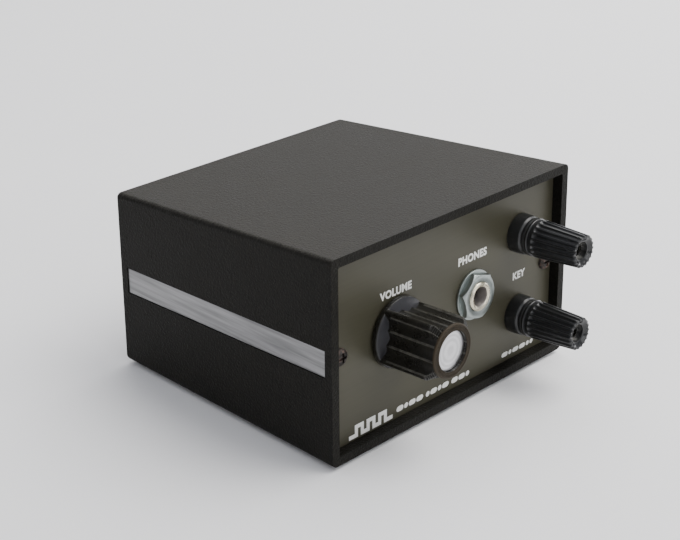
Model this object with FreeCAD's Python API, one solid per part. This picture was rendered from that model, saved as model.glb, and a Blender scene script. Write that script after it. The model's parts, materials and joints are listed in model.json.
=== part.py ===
# Code practice oscillator: a drafted, one-piece moulded case that is open at the front, a recessed
# metal panel with a volume control, a phones jack and two binding posts, and the circuit,
# loudspeaker and battery inside.
#
# Two working frames are used, both in millimetres with X to the right and Z up:
#   case frame   origin at the middle of the front rim, Y along the case's axis towards the rear
#   floor frame  the row's own frame: Z = 0 is the surface that the feet stand on
# All four walls taper towards the rear by DRAFT, and the case stands on its tapered floor, so
# the case frame leans back by the same angle.
import FreeCAD
import Part
import math
import os

from FreeCAD import Placement, Rotation, Vector

# ---- driving dimensions -------------------------------------------------------------------
CASE_W = 114.3          # outside width at the front rim
CASE_H = 66.8           # outside height at the front rim
CASE_D = 98.3           # depth along the case's axis
DRAFT = 2.25            # taper of every wall, degrees
WALL = 3.0              # wall thickness, and the width of the front rim
CORNER_R = 1.8          # outside radius of the four long edges
REAR_R = 1.2            # radius round the rear face
FOOT_GAP = 1.4          # height of the case's floor above the table
FOOT_R = 6.35
PANEL_RECESS = 3.5      # front face of the panel behind the rim
PANEL_T = 1.5
PANEL_GAP = 0.15        # clearance between the panel and the case
TRIM_H = 8.8            # bright strip let into each side
TRIM_FRONT = 3.0
TRIM_REAR = 94.6
TRIM_T = 0.5
TRIM_SINK = 0.35        # how far the strip's face lies below the wall's face

KNOB_X = -25.0
JACK_X = 12.4
POST_X = 36.0
POST_Z = 14.3           # the two posts stand this far above and below the middle
SCREW_X = 50.2          # panel screws, at the middle height

BUSHING_R = 4.76        # three-eighths inch threaded bushing of the control and the jack
SHAFT_R = 3.175         # quarter inch shaft
RUN = 0.06              # radial running clearance of a shaft in a bearing

SPEAKER_X = 16.0
SPEAKER_R = 24.0
SPEAKER_SCREW_AT = 25.6 / math.sqrt(2)      # offset of each speaker screw, along X and along Z
SPEAKER_SCREW_R = 1.4
TONE_X = -34.0
TONE_HOLE_R = 3.6
SCREW_THREAD_R = 1.5    # panel screws

RIM_UP = FOOT_GAP + CASE_H / 2 * math.cos(math.radians(DRAFT))     # height of the rim's middle
PANEL_BACK = PANEL_RECESS + PANEL_T
REAR_IN = CASE_D - WALL
TAN = math.tan(math.radians(DRAFT))
AXIS_Y = Vector(0, 1, 0)

parts = {}


# ---- helpers ------------------------------------------------------------------------------
def out(distance):
    """Case-frame Y of a point that stands this far out from the panel's front face."""
    return PANEL_RECESS - distance


def cyl(radius, y0, y1, x=0.0, z=0.0):
    """Cylinder along Y."""
    low, high = min(y0, y1), max(y0, y1)
    return Part.makeCylinder(radius, high - low, Vector(x, low, z), AXIS_Y)


def tube(outer, inner, y0, y1, x=0.0, z=0.0):
    """Tube or washer along Y."""
    low, high = min(y0, y1), max(y0, y1)
    return cyl(outer, low, high, x, z).cut(cyl(inner, low - 1, high + 1, x, z))


def box(x0, x1, y0, y1, z0, z1):
    return Part.makeBox(x1 - x0, y1 - y0, z1 - z0, Vector(x0, y0, z0))


def revolved(profile, x=0.0, z=0.0):
    """Solid of revolution about the Y axis through (x, z), from (y, radius) corners."""
    points = [Vector(r, y, 0) for y, r in profile]
    face = Part.Face(Part.makePolygon(points + points[:1]))
    solid = face.revolve(Vector(0, 0, 0), AXIS_Y, 360)
    solid.translate(Vector(x, 0, z))
    return solid


def hexagon(flats, y0, y1, x, z, turn=0.0):
    """Hexagonal prism along Y, flats = distance across the flats."""
    radius = flats / math.sqrt(3)
    corners = []
    for i in range(6):
        a = math.radians(turn + 60 * i)
        corners.append(Vector(x + radius * math.cos(a), y0, z + radius * math.sin(a)))
    face = Part.Face(Part.makePolygon(corners + corners[:1]))
    return face.extrude(Vector(0, y1 - y0, 0))


def hex_nut(flats, bore, y_back, y_front, x, z, turn=0.0):
    """Nut along Y whose corners are chamfered on the front side."""
    nut = hexagon(flats, y_front, y_back, x, z, turn)
    edge = flats / 2 + 0.1
    tip = flats / math.sqrt(3) + 0.1
    drop = (tip - edge) * math.tan(math.radians(30))
    blank = revolved([(y_front, 0), (y_front, edge), (y_front + drop, tip), (y_back, tip), (y_back, 0)], x, z)
    return nut.common(blank).cut(cyl(bore, y_front - 1, y_back + 1, x, z))


def wall_section(y, inset, radius):
    """Rounded rectangle that follows the tapered walls at depth y, moved in by inset."""
    a = CASE_W / 2 - y * TAN - inset
    b = CASE_H / 2 - y * TAN - inset
    r = radius
    corner = r * (1 - math.sqrt(0.5))
    edges = []
    for sx, sz, flip in ((1, 1, 0), (-1, 1, 1), (-1, -1, 0), (1, -1, 1)):
        start = Vector(sx * a, y, sz * (b - r))
        middle = Vector(sx * (a - corner), y, sz * (b - corner))
        end = Vector(sx * (a - r), y, sz * b)
        if flip:
            start, end = end, start
        edges.append(Part.Arc(start, middle, end).toShape())
    wire = []
    for i, edge in enumerate(edges):
        wire.append(edge)
        here = edge.valueAt(edge.LastParameter)
        there = edges[(i + 1) % 4].valueAt(edges[(i + 1) % 4].FirstParameter)
        wire.append(Part.makeLine(here, there))
    return Part.Wire(wire)


def tapered(y0, y1, inset, radius):
    """Block that follows the case's tapered walls between two depths."""
    return Part.makeLoft([wall_section(y0, inset, radius), wall_section(y1, inset, radius)], True, True)


def strip_wire(points, x0, x1):
    """Flat strip bent in the YZ plane: (y, z) corners of its outline, from x0 to x1."""
    outline = [Vector(x0, y, z) for y, z in points]
    face = Part.Face(Part.makePolygon(outline + outline[:1]))
    return face.extrude(Vector(x1 - x0, 0, 0))


def lead(points, radius):
    """Round wire through a list of points, with tangent arcs at the corners."""
    pieces = []
    last = points[0]
    for i in range(1, len(points) - 1):
        a, b, c = points[i - 1], points[i], points[i + 1]
        u, v = (a - b).normalize(), (c - b).normalize()
        run = 0.45 * min((a - b).Length, (c - b).Length)
        half = math.acos(max(-1.0, min(1.0, u.dot(v)))) / 2
        start, end = b + u * run, b + v * run
        bend = run * math.tan(half)
        centre = b + (u + v).normalize() * (bend / math.sin(half))
        middle = centre + (b - centre).normalize() * bend
        pieces.append(Part.makeLine(last, start))
        pieces.append(Part.Arc(start, middle, end).toShape())
        last = end
    pieces.append(Part.makeLine(last, points[-1]))
    path = Part.Wire(pieces)
    start_dir = (points[1] - points[0]).normalize()
    ring = Part.Wire([Part.makeCircle(radius, points[0], start_dir)])
    return path.makePipeShell([ring], True, False)


def fused(shapes):
    whole = shapes[0].fuse(shapes[1:]) if len(shapes) > 1 else shapes[0]
    return whole.removeSplitter()


def group(shapes):
    return Part.makeCompound(shapes)


# ---- case ---------------------------------------------------------------------------------
BOSS_HALF = 4.5         # half width of the bosses that take the panel screws
BOSS_LEN = 20.0
GRILLE_SLOT = 2.2
GRILLE_PITCH = 5.0
SPEAKER_HOLE_R = 20.0
FOOT_X = 39.0
FOOT_FRONT = 17.0
FOOT_REAR = 74.0


def speaker_screw_places():
    at = SPEAKER_SCREW_AT
    return [(SPEAKER_X + sx * at, sz * at) for sx in (-1, 1) for sz in (-1, 1)]


def grille_slots():
    """Slots through the rear wall in front of the loudspeaker's cone."""
    slots = []
    rows = int(SPEAKER_HOLE_R // GRILLE_PITCH)
    for i in range(-rows, rows + 1):
        z = i * GRILLE_PITCH
        half = math.sqrt(SPEAKER_HOLE_R ** 2 - z ** 2) - 1.0
        if half < 3:
            half = 4.0
        slot = box(SPEAKER_X - half, SPEAKER_X + half, REAR_IN - 1, CASE_D + 1,
                   z - GRILLE_SLOT / 2, z + GRILLE_SLOT / 2)
        slots.append(slot)
        for side in (-half, half):
            slots.append(cyl(GRILLE_SLOT / 2, REAR_IN - 1, CASE_D + 1, SPEAKER_X + side, z))
    return fused(slots)


def trim_pocket(side, depth):
    """Wedge under one side wall's face, with the strip's outline: side is -1 or 1."""
    corners = []
    for y in (TRIM_FRONT, TRIM_REAR):
        face = CASE_W / 2 - y * TAN
        corners.append((side * face, y))
    (xa, ya), (xb, yb) = corners
    outline = [Vector(xa + side, ya, -TRIM_H / 2), Vector(xb + side, yb, -TRIM_H / 2),
               Vector(xb - side * depth, yb, -TRIM_H / 2), Vector(xa - side * depth, ya, -TRIM_H / 2)]
    face = Part.Face(Part.makePolygon(outline + outline[:1]))
    return face.extrude(Vector(0, 0, TRIM_H))


def make_case():
    body = tapered(0, CASE_D, 0, CORNER_R)
    rear_edges = [e for e in body.Edges if abs(e.BoundBox.YMin - CASE_D) < 1e-6]
    body = body.makeFillet(REAR_R, rear_edges)
    cavity = tapered(-1.0, REAR_IN, WALL, 0.6)
    shell = body.cut(cavity)
    add = []
    for side in (-1, 1):
        wall = CASE_W / 2 - PANEL_BACK * TAN
        inner = SCREW_X - BOSS_HALF
        x0, x1 = sorted((side * inner, side * (wall - 1.0)))
        add.append(box(x0, x1, PANEL_BACK, PANEL_BACK + BOSS_LEN, -BOSS_HALF, BOSS_HALF))
        for up in (-1, 1):
            ledge_x = sorted((side * (wall - 8.0), side * (wall - 1.0)))
            ledge_z = sorted((up * (CASE_H / 2 - 8.0), up * (CASE_H / 2 - 1.5)))
            add.append(box(ledge_x[0], ledge_x[1], PANEL_BACK, PANEL_BACK + 6, ledge_z[0], ledge_z[1]))
    shell = shell.fuse([a.common(tapered(0, CASE_D, 0.5, CORNER_R)) for a in add]).removeSplitter()
    cuts = [grille_slots(), cyl(TONE_HOLE_R, REAR_IN - 1, CASE_D + 1, TONE_X, 0)]
    for x, z in speaker_screw_places():
        cuts.append(cyl(SPEAKER_SCREW_R + 0.02, REAR_IN - 1, REAR_IN + 2.2, x, z))
    for side in (-1, 1):
        cuts.append(trim_pocket(side, TRIM_SINK + TRIM_T))
        cuts.append(cyl(SCREW_THREAD_R, PANEL_BACK - 1, PANEL_BACK + 14, side * SCREW_X, 0))
    return shell.cut(cuts)


def make_trim(side):
    """Bright strip glued into the pocket in one side wall."""
    whole = trim_pocket(side, TRIM_SINK + TRIM_T)
    above = trim_pocket(side, TRIM_SINK)
    strip = whole.cut(above)
    shrink = 0.1
    y0, y1 = TRIM_FRONT + shrink, TRIM_REAR - shrink
    half = TRIM_H / 2 - shrink
    return strip.common(box(-CASE_W, CASE_W, y0, y1, -half, half))


# ---- panel --------------------------------------------------------------------------------
SCREW_HEAD_R = 2.9
POT_HOLE_R = BUSHING_R + 0.15
POST_HOLE_R = 4.2


def make_panel():
    plate = tapered(PANEL_RECESS, PANEL_BACK, WALL + PANEL_GAP, 0.5)
    holes = [cyl(POT_HOLE_R, 0, 10, KNOB_X), cyl(POT_HOLE_R, 0, 10, JACK_X)]
    for up in (-1, 1):
        holes.append(cyl(POST_HOLE_R, 0, 10, POST_X, up * POST_Z))
    for side in (-1, 1):
        holes.append(cyl(SCREW_THREAD_R + 0.2, 0, 10, side * SCREW_X))
    return plate.cut(holes)


def cross_slot(x, y_front, depth, length, width):
    """Cutter for a cross recess in a screw head that faces the front."""
    bars = [box(x - length / 2, x + length / 2, y_front - 1, y_front + depth, -width / 2, width / 2),
            box(x - width / 2, x + width / 2, y_front - 1, y_front + depth, -length / 2, length / 2)]
    return fused(bars)


def make_panel_screw(side):
    x = side * SCREW_X
    head = revolved([(out(0), 0), (out(0), SCREW_HEAD_R), (out(0.8), SCREW_HEAD_R * 0.93),
                     (out(1.5), SCREW_HEAD_R * 0.62), (out(1.8), 0)], x)
    shank = cyl(SCREW_THREAD_R - 0.02, out(0) - 0.01, PANEL_BACK + 10, x)
    return fused([head, shank]).cut(cross_slot(x, out(1.8), 1.3, 3.2, 0.8))


# ---- volume control -----------------------------------------------------------------------
WASHER_T = 0.8
NUT_T = 2.4
KNOB_SKIRT_R = 11.5
KNOB_HALF = 8.6         # distance of the grip's corner tangents from the axis
KNOB_CORNER_R = 11.6
KNOB_TURN = 36.5        # rotation of the square grip
KNOB_FLUTES = 3         # shallow flutes on each side of the grip
KNOB_RING_R = 8.7
KNOB_LEN = 22.5
DISC_R = 6.4
DISC_T = 0.4
DISC_SINK = 1.2         # how far the disc's face lies below the knob's front
SET_R = 1.5
SET_OUT = 8.0           # the set screw's place along the knob
POT_R = 12.0
POT_LEN = 10.0


def grip_outline(y):
    """Square with rounded corners and hollow sides, each side cut into shallow flutes."""
    reach = 6.9
    hollow = 0.8
    scallop = 0.7
    corner_mid = KNOB_CORNER_R * math.sqrt(0.5)

    def side_height(t):
        return KNOB_HALF - hollow * (1 - (t / reach) ** 2)

    edges = []
    for k in range(4):
        turn = math.radians(KNOB_TURN - 45 + 90 * k)

        def at(t, height):
            x = height * math.cos(turn) - t * math.sin(turn)
            z = height * math.sin(turn) + t * math.cos(turn)
            return Vector(KNOB_X + x, y, z)

        step = 2 * reach / KNOB_FLUTES
        for i in range(KNOB_FLUTES):
            t0, t1 = -reach + i * step, -reach + (i + 1) * step
            low = (side_height(t0) + side_height(t1)) / 2 - scallop
            edges.append(Part.Arc(at(t0, side_height(t0)), at((t0 + t1) / 2, low),
                                  at(t1, side_height(t1))).toShape())
        edges.append(Part.Arc(at(reach, KNOB_HALF), at(corner_mid, corner_mid),
                              at(KNOB_HALF, reach)).toShape())
    return Part.Wire(edges)


def make_knob():
    grip_front = 21.7
    grip = Part.Face(grip_outline(out(2.4))).extrude(Vector(0, out(grip_front) - out(2.4), 0))
    trim = revolved([(out(0), 0), (out(0), 14), (out(18.2), 12.4), (out(19.4), 11.4),
                     (out(grip_front), 9.1), (out(grip_front), 0)], KNOB_X)
    skirt = revolved([(out(0.6), 0), (out(0.6), KNOB_SKIRT_R - 0.2), (out(0.8), KNOB_SKIRT_R),
                      (out(2.0), KNOB_SKIRT_R), (out(2.3), 11.2), (out(4.1), 6.6), (out(4.1), 0)], KNOB_X)
    front = revolved([(out(21.0), 0), (out(21.0), KNOB_RING_R), (out(KNOB_LEN - 0.4), KNOB_RING_R),
                      (out(KNOB_LEN), KNOB_RING_R - 0.4), (out(KNOB_LEN), 0)], KNOB_X)
    knob = grip.common(trim).fuse([skirt, front]).removeSplitter()
    cuts = [cyl(8.3, out(0), out(1.2), KNOB_X),
            cyl(7.6, out(0), out(3.5), KNOB_X),
            cyl(5.3, out(0), out(6.2), KNOB_X),
            cyl(SHAFT_R + 0.02, out(0), out(17.0), KNOB_X),
            cyl(DISC_R + 0.05, out(KNOB_LEN - DISC_SINK - DISC_T), out(KNOB_LEN + 1), KNOB_X),
            set_screw_bore(SHAFT_R, 14)]
    return knob.cut(cuts)


def make_disc():
    face = KNOB_LEN - DISC_SINK
    return cyl(DISC_R, out(face - DISC_T), out(face), KNOB_X)


def set_screw_bore(inner, outer):
    """Cylinder that points down from the shaft, for the set screw and its hole."""
    return Part.makeCylinder(SET_R, outer - inner, Vector(KNOB_X, out(SET_OUT), -inner), Vector(0, 0, -1))


def make_set_screw():
    screw = Part.makeCylinder(SET_R - 0.02, 3.6, Vector(KNOB_X, out(SET_OUT), -SHAFT_R - 0.02),
                              Vector(0, 0, -1))
    socket = Part.makeCylinder(0.7, 2.0, Vector(KNOB_X, out(SET_OUT), -SHAFT_R - 5.0), Vector(0, 0, 1))
    return screw.cut(socket)


def make_pot_housing():
    can = cyl(POT_R, PANEL_BACK, PANEL_BACK + POT_LEN, KNOB_X)
    inside = cyl(POT_R - 0.8, PANEL_BACK + 1.2, PANEL_BACK + POT_LEN - 0.8, KNOB_X)
    bushing = cyl(BUSHING_R, out(5.6), PANEL_BACK + 1, KNOB_X)
    bore = cyl(SHAFT_R + RUN, out(8), PANEL_BACK + 2, KNOB_X)
    return fused([can, bushing]).cut([inside, bore])


def make_pot_lugs():
    lugs = []
    for i in (-1, 0, 1):
        x = KNOB_X + 5.0 * i
        lugs.append(box(x - 1.1, x + 1.1, PANEL_BACK + 4, PANEL_BACK + 4.6, -19.0, -POT_R - 0.05))
    return group(lugs)


def make_wiper():
    hub = tube(9.0, SHAFT_R + 0.02, PANEL_BACK + 2.4, PANEL_BACK + 4.0, KNOB_X)
    arm = box(KNOB_X - 1.0, KNOB_X + 1.0, PANEL_BACK + 4.0, PANEL_BACK + 6.4, 5.0, 8.5)
    return fused([hub, arm])


# ---- phones jack --------------------------------------------------------------------------
JACK_BORE_R = 3.25
JACK_WASHER_R = 8.4
JACK_NUT_FLATS = 14.3
JACK_NUT_TURN = 45
JACK_OUT = 3.6


def make_jack_frame():
    plate = box(JACK_X - 7, JACK_X + 7, PANEL_BACK, PANEL_BACK + 1.2, -8, 10.2)
    arm = box(JACK_X - 4, JACK_X + 4, PANEL_BACK + 1.2, PANEL_BACK + 26, 9.0, 10.2)
    return fused([plate, arm]).cut(cyl(JACK_BORE_R + 0.8, 0, 20, JACK_X))


def make_jack_bushing():
    thread = cyl(BUSHING_R, out(JACK_OUT), PANEL_BACK, JACK_X)
    neck = cyl(JACK_BORE_R + 0.78, PANEL_BACK - 0.5, PANEL_BACK + 1.6, JACK_X)
    lip = revolved([(out(JACK_OUT), 0), (out(JACK_OUT), JACK_BORE_R + 0.5),
                    (out(JACK_OUT - 0.5), JACK_BORE_R), (out(JACK_OUT - 0.5), 0)], JACK_X)
    return fused([thread, neck]).cut([cyl(JACK_BORE_R, out(10), 20, JACK_X), lip])


def make_jack_stack():
    return box(JACK_X - 3.5, JACK_X + 3.5, PANEL_BACK + 5, PANEL_BACK + 13, 6.2, 9.0)


def make_tip_spring():
    """Leaf that presses on a plug's tip; its V comes down near the bore's axis."""
    t = 0.4
    y = PANEL_BACK
    top = [(y + 6, 6.2), (y + 15, 6.2), (y + 22, 2.6), (y + 24.5, 4.6)]
    low = [(py, pz - t) for py, pz in reversed(top)]
    return strip_wire(top + low, JACK_X - 2, JACK_X + 2)


def make_jack_lugs():
    lugs = []
    for side in (-1, 1):
        x = JACK_X + side * 2.2
        lugs.append(box(x - 1, x + 1, PANEL_BACK + 13.05, PANEL_BACK + 20, 7.4, 7.9))
    return group(lugs)


# ---- binding posts ------------------------------------------------------------------------
COLLAR_R = 6.6
COLLAR_LEN = 5.2
STUD_R = 3.0
STUD_TIP = 23.0
BANANA_R = 2.05
BANANA_DEPTH = 13.5
CLAMP_T = 1.0
CAP_TIP_R = 5.5
CAP_ROOT_R = 6.3
CAP_LEN = 25.7
CAP_FLUTES = 20


def make_post_base(z):
    collar = revolved([(out(0), 0), (out(0), COLLAR_R), (out(COLLAR_LEN - 0.8), COLLAR_R - 0.15),
                       (out(COLLAR_LEN), COLLAR_R - 0.9), (out(COLLAR_LEN), 0)], POST_X, z)
    return collar.cut(cyl(STUD_R + 0.02, out(20), 10, POST_X, z))


def make_stud(z):
    stud = cyl(STUD_R, out(STUD_TIP), PANEL_BACK + 13, POST_X, z)
    bore = cyl(BANANA_R, out(STUD_TIP - BANANA_DEPTH), out(STUD_TIP + 1), POST_X, z)
    cross = Part.makeCylinder(0.9, 20, Vector(POST_X, out(COLLAR_LEN + 2.0), z - 10), Vector(0, 0, 1))
    return stud.cut([bore, cross])


def make_clamp_ring(z):
    return tube(6.2, STUD_R + RUN, out(COLLAR_LEN + 0.1), out(COLLAR_LEN + 0.1 + CLAMP_T), POST_X, z)


def make_post_cap(z):
    root = COLLAR_LEN + 0.15 + CLAMP_T
    body = revolved([(out(root), 0), (out(root), 6.0), (out(root + 0.3), 6.3), (out(root + 1.0), 6.3),
                     (out(root + 1.3), 5.7), (out(root + 2.2), 5.7), (out(root + 2.8), CAP_ROOT_R),
                     (out(CAP_LEN - 0.6), CAP_TIP_R), (out(CAP_LEN), CAP_TIP_R - 0.6), (out(CAP_LEN), 0)],
                    POST_X, z)
    slope = math.degrees(math.atan((CAP_ROOT_R - CAP_TIP_R) / (CAP_LEN - root - 3.4)))
    cutter_r = 0.62
    cuts = []
    for i in range(CAP_FLUTES):
        flute = cyl(cutter_r, -4, 30)
        flute.rotate(Vector(0, 0, 0), Vector(1, 0, 0), slope)
        flute.translate(Vector(0, out(CAP_LEN + 2), CAP_TIP_R - 0.1))
        stop = box(-2, 2, out(CAP_LEN + 9), out(root + 3.2), -20, 20)
        flute = flute.common(stop)
        flute.rotate(Vector(0, 0, 0), AXIS_Y, 360.0 * i / CAP_FLUTES)
        flute.translate(Vector(POST_X, 0, z))
        cuts.append(flute)
    mouth = revolved([(out(CAP_LEN + 0.1), 0), (out(CAP_LEN + 0.1), 3.7), (out(CAP_LEN - 0.5), 3.3),
                      (out(CAP_LEN - 0.5), 0)], POST_X, z)
    cuts.append(mouth)
    cuts.append(cyl(STUD_R + RUN, out(CAP_LEN + 1), out(0), POST_X, z))
    return body.cut(cuts)


def make_post_insulator(z):
    flange = cyl(6.0, PANEL_BACK, PANEL_BACK + 2.0, POST_X, z)
    spigot = cyl(POST_HOLE_R - 0.05, out(0) + 0.05, PANEL_BACK + 1, POST_X, z)
    return fused([flange, spigot]).cut(cyl(STUD_R + 0.02, -5, 20, POST_X, z))


def make_post_lug(z):
    side = PANEL_BACK + 2.0
    eye = tube(4.6, STUD_R + 0.02, side, side + 0.5, POST_X, z)
    tab = box(POST_X + 4.2, POST_X + 10.5, side, side + 0.5, z - 1.4, z + 1.4)
    hole = cyl(0.6, side - 1, side + 2, POST_X + 8.8, z)
    return fused([eye, tab]).cut(hole)


def make_post_nut(z):
    side = PANEL_BACK + 2.5
    return hexagon(9.5, side, side + 2.6, POST_X, z).cut(cyl(STUD_R + 0.01, -5, 30, POST_X, z))


# ---- loudspeaker and tone control, on the rear wall ---------------------------------------
MAGNET_R = 13.0
CONE_CLEAR = 1.6
RIM_T = 1.0
TONE_SHAFT_R = 2.9


def make_speaker_frame():
    """Pressed basket: rim on the rear wall, sloping back to the magnet's seat."""
    y = REAR_IN
    outer = revolved([(y, SPEAKER_R), (y - RIM_T, SPEAKER_R), (y - RIM_T, 22.6), (y - 10.0, 13.5),
                      (y - 10.0, 0), (y, 0)], SPEAKER_X)
    inner = revolved([(y + 1, 21.0), (y - 2.0, 21.0), (y - 9.2, 12.6), (y - 9.2, 0), (y + 1, 0)], SPEAKER_X)
    frame = outer.cut([inner, cyl(6.6, y - 12, y - 8, SPEAKER_X)])
    windows = []
    for i in range(4):
        window = box(-4.5, 4.5, y - 8.6, y - 4.2, 11, 24)
        window.rotate(Vector(0, 0, 0), AXIS_Y, 45 + 90 * i)
        window.translate(Vector(SPEAKER_X, 0, 0))
        windows.append(window)
    return frame.cut(windows)


def make_magnet():
    y = REAR_IN - 10.0
    ring = tube(MAGNET_R, 6.4, y - 4.6, y, SPEAKER_X)
    plate = cyl(MAGNET_R - 1, y - 6.0, y - 4.6, SPEAKER_X)
    pole = cyl(4.6, y - 5.0, y + 0.6, SPEAKER_X)
    return fused([ring, plate, pole])


def make_cone():
    """Paper cone, dust cap and voice coil, which move together along the axis."""
    y = REAR_IN
    outer = [(y - CONE_CLEAR, 19.3), (y - CONE_CLEAR - 0.5, 19.3), (y - 6.9, 6.2), (y - 12.0, 6.2),
             (y - 12.0, 5.2), (y - 6.3, 5.2), (y - 6.3, 0), (y - 5.6, 0), (y - 5.9, 5.2)]
    return revolved(outer, SPEAKER_X)


def make_speaker_screws():
    screws = []
    for x, z in speaker_screw_places():
        head = cyl(2.8, REAR_IN - RIM_T - 1.6, REAR_IN - RIM_T, x, z)
        shank = cyl(SPEAKER_SCREW_R, REAR_IN - RIM_T - 0.5, REAR_IN + 2.0, x, z)
        screws.append(fused([head, shank]))
    return group(screws)


def make_tone_body():
    y = REAR_IN
    can = box(TONE_X - 7, TONE_X + 7, y - 8.0, y, -7, 7)
    hollow = cyl(5.0, y - 6.8, y - 1.0, TONE_X)
    bore = cyl(TONE_SHAFT_R + RUN, y - 2, y + 1, TONE_X)
    return can.cut([hollow, bore])


def make_tone_rotor():
    y = REAR_IN
    rotor = cyl(4.6, y - 6.0, y - 1.4, TONE_X)
    stem = cyl(TONE_SHAFT_R, y - 1.4, CASE_D - 0.4, TONE_X)
    slot = box(TONE_X - 5, TONE_X + 5, CASE_D - 1.6, CASE_D + 1, -0.5, 0.5)
    return fused([rotor, stem]).cut(slot)


# ---- circuit board and battery, in the floor frame ----------------------------------------
FLOOR_Z = FOOT_GAP + WALL * math.cos(math.radians(DRAFT))
BOARD = (-12.0, 44.0, 34.0, 74.0)       # x0, x1, y0, y1, with y measured back from the rim
BOARD_UP = 6.0
BOARD_T = 1.6
BATTERY_X = -34.0
BATTERY_Y = 29.0
BATTERY = (26.2, 46.4, 17.0)


def board_top():
    return FLOOR_Z + BOARD_UP + BOARD_T


def board_corners():
    x0, x1, y0, y1 = BOARD
    return [(x, y) for x in (x0 + 3.5, x1 - 3.5) for y in (y0 + 3.5, y1 - 3.5)]


def upright(radius, x, y, z0, z1):
    return Part.makeCylinder(radius, z1 - z0, Vector(x, y, z0))


def make_board():
    x0, x1, y0, y1 = BOARD
    plate = box(x0, x1, y0, y1, FLOOR_Z + BOARD_UP, board_top())
    return plate.cut([upright(1.6, x, y, 0, 40) for x, y in board_corners()])


def make_standoffs():
    posts = []
    for x, y in board_corners():
        posts.append(upright(3.0, x, y, FLOOR_Z, FLOOR_Z + BOARD_UP).cut(upright(1.3, x, y, FLOOR_Z + 1, 40)))
    return group(posts)


def make_board_screws():
    screws = []
    for x, y in board_corners():
        shank = upright(1.25, x, y, board_top() - 6.0, board_top() + 0.1)
        head = upright(2.5, x, y, board_top(), board_top() + 1.5)
        slot = box(x - 3, x + 3, y - 0.3, y + 0.3, board_top() + 0.9, board_top() + 2)
        screws.append(fused([shank, head]).cut(slot))
    return group(screws)


def make_transistors():
    out_parts = []
    for x, y in ((2.0, 46.0), (11.0, 46.0), (20.0, 46.0)):
        can = upright(2.3, x, y, board_top() + 2.0, board_top() + 7.0)
        flat = box(x - 3, x + 3, y + 1.3, y + 4, 0, 60)
        legs = [upright(0.25, x + dx, y, board_top(), board_top() + 2.2) for dx in (-1.27, 0, 1.27)]
        out_parts.append(fused([can.cut(flat)] + legs))
    return group(out_parts)


def resistor(x, y):
    z = board_top() + 1.6
    body = Part.makeCylinder(1.1, 6.4, Vector(x, y, z), Vector(1, 0, 0))
    wire = Part.makeCylinder(0.35, 10.4, Vector(x - 2.0, y, z), Vector(1, 0, 0))
    legs = [upright(0.26, x - 1.5, y, board_top(), z), upright(0.26, x + 7.9, y, board_top(), z)]
    return fused([body, wire] + legs)


def make_resistors():
    return group([resistor(x, y) for x in (2.0, 15.0, 28.0) for y in (54.0, 59.0, 64.0)])


def make_electrolytics():
    cans = []
    for x, y, r, h in ((31.0, 45.0, 4.0, 12.0), (-5.0, 55.0, 3.2, 11.0)):
        can = upright(r, x, y, board_top(), board_top() + h)
        cans.append(can.makeFillet(0.4, can.Edges[:1] + can.Edges[2:]))
    return group(cans)


def make_disc_capacitors():
    discs = []
    for x in (6.0, 16.0, 26.0):
        z = board_top() + 5.0
        disc = Part.makeCylinder(3.2, 2.0, Vector(x, 38.5, z), AXIS_Y)
        legs = [upright(0.25, x + dx, 39.5, board_top(), z - 1.0) for dx in (-1.8, 1.8)]
        discs.append(fused([disc] + legs))
    return group(discs)


def make_battery():
    w, d, h = BATTERY
    x, y = BATTERY_X, BATTERY_Y
    can = box(x - w / 2, x + w / 2, y, y + d, FLOOR_Z + 0.8, FLOOR_Z + 0.8 + h)
    edges = [e for e in can.Edges if e.BoundBox.YLength > d - 1]
    can = can.makeFillet(2.0, edges)
    mid = FLOOR_Z + 0.8 + h / 2
    posts = [cyl(2.8, y + d, y + d + 2.0, x + 6.35, mid), cyl(3.6, y + d, y + d + 2.0, x - 6.35, mid)]
    return fused([can] + posts)


def make_battery_clip():
    """Spring steel cradle: a floor plate with two side leaves."""
    w, d, h = BATTERY
    x, y = BATTERY_X, BATTERY_Y
    plate = box(x - w / 2 - 0.8, x + w / 2 + 0.8, y + 12, y + d - 12, FLOOR_Z, FLOOR_Z + 0.8)
    sides = []
    for side in (-1, 1):
        a, b = sorted((side * (w / 2 + 0.8), side * w / 2))
        sides.append(box(x + a, x + b, y + 12, y + d - 12, FLOOR_Z, FLOOR_Z + 0.8 + h * 0.8))
    return fused([plate] + sides)


def make_battery_snap():
    y = BATTERY_Y + BATTERY[1]
    mid = FLOOR_Z + 0.8 + BATTERY[2] / 2
    return box(BATTERY_X - 12, BATTERY_X + 12, y + 2.0, y + 4.6, mid - 6, mid + 6)


# ---- wires --------------------------------------------------------------------------------
WIRE_R = 0.6


def on_floor(x, y, z):
    """Floor-frame place of a point given in the case frame."""
    a = math.radians(DRAFT)
    return Vector(x, y * math.cos(a) + z * math.sin(a), RIM_UP - y * math.sin(a) + z * math.cos(a))


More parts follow.
